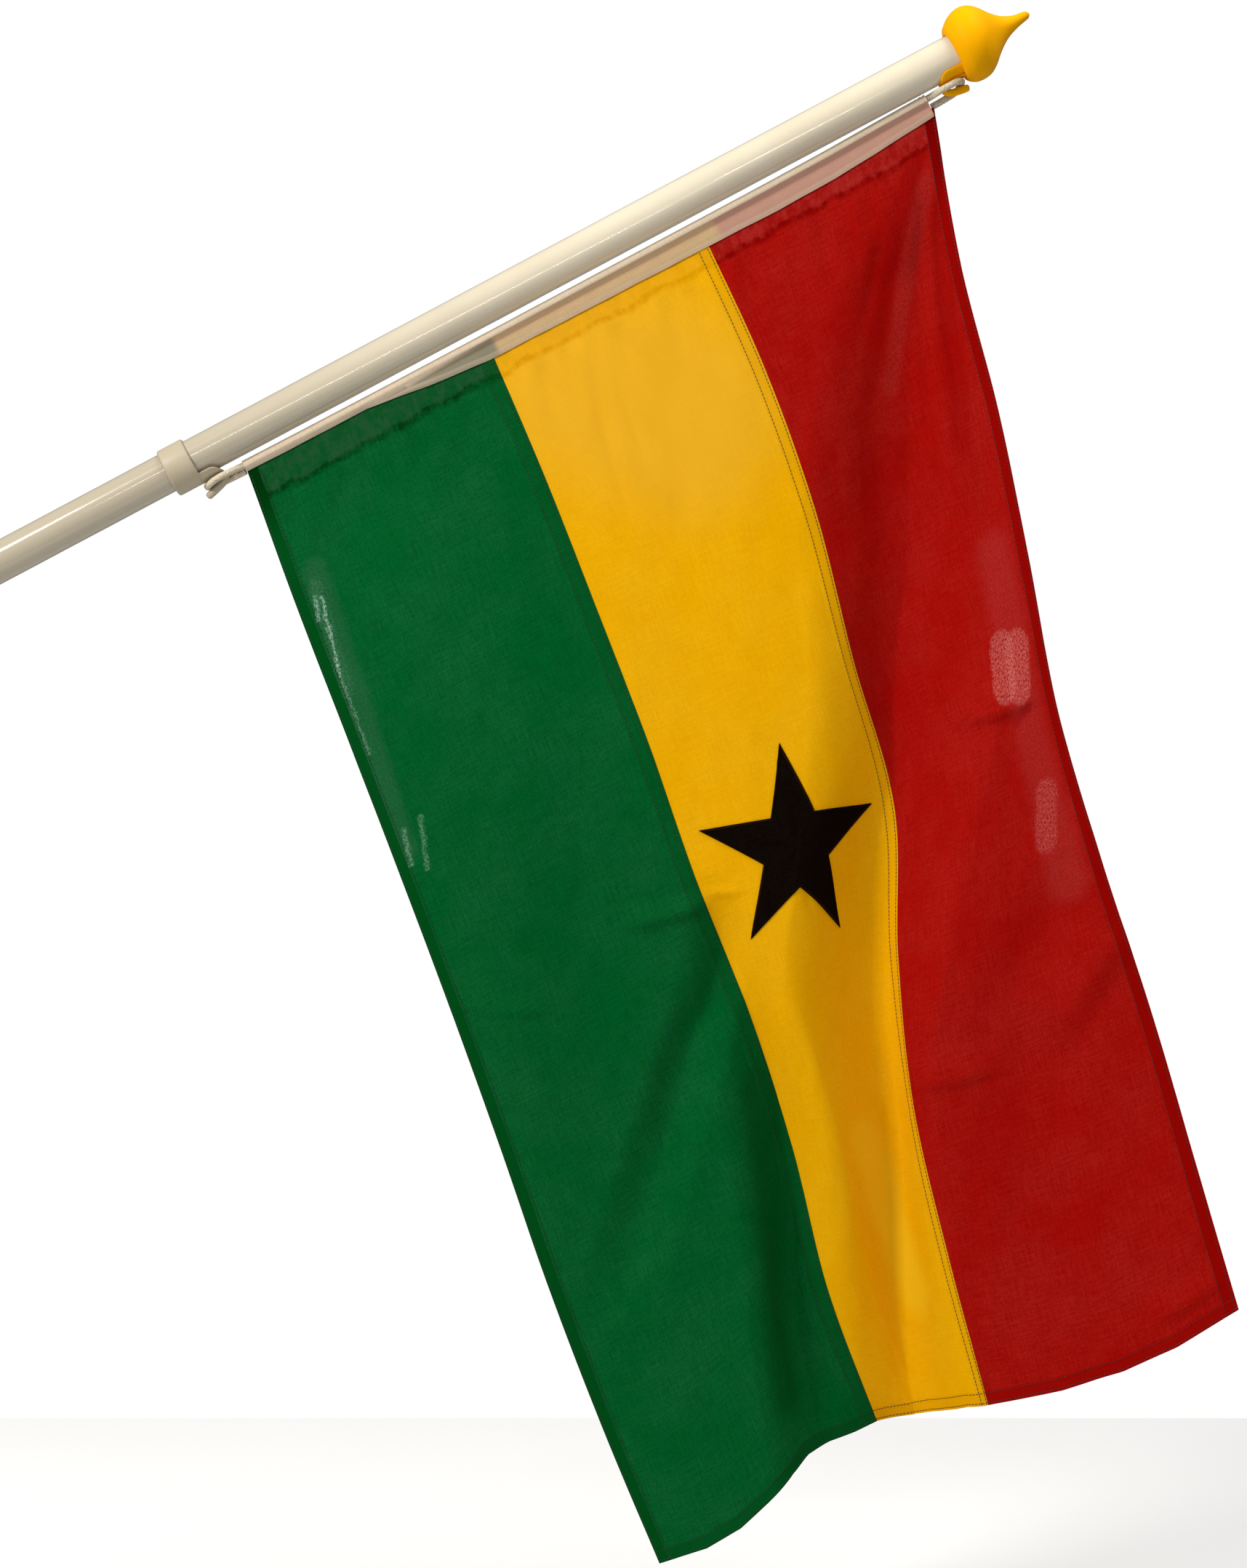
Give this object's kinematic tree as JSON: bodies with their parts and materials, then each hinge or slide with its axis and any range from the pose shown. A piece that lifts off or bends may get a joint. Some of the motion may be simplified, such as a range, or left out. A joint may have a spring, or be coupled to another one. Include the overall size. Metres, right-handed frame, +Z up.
{
  "type": "national flag on a pole",
  "caption": "Cloth flag of three upright bands with a black star, hung on a rope in a taped heading between two hooks on a slanted white pole with a yellow knob.",
  "frame": {"origin": "centre of the pole's flat butt end", "axes": "+Z up; +X level, towards the knob and away from the wall; +Y level, away from the viewer of the flag's front"},
  "size_m": [1.0815, 0.1055, 1.2182],
  "materials": {
    "lacquer": "gloss cream-white lacquer",
    "cream_plastic": "moulded, satin",
    "yellow_plastic": "moulded, satin",
    "cord": "laid cord",
    "tape": "woven tape",
    "green_cloth": "knitted polyester",
    "yellow_cloth": "knitted polyester",
    "red_cloth": "knitted polyester",
    "black_cloth": "satin applique"
  },
  "bodies": {
    "root": {"pole": "lacquer", "collar": "cream_plastic", "finial": "yellow_plastic", "rope": "cord", "heading": "tape", "green_panel": "green_cloth", "yellow_panel": "yellow_cloth", "red_panel": "red_cloth", "star": "black_cloth", "star_back": "black_cloth"}
  },
  "joints": []
}
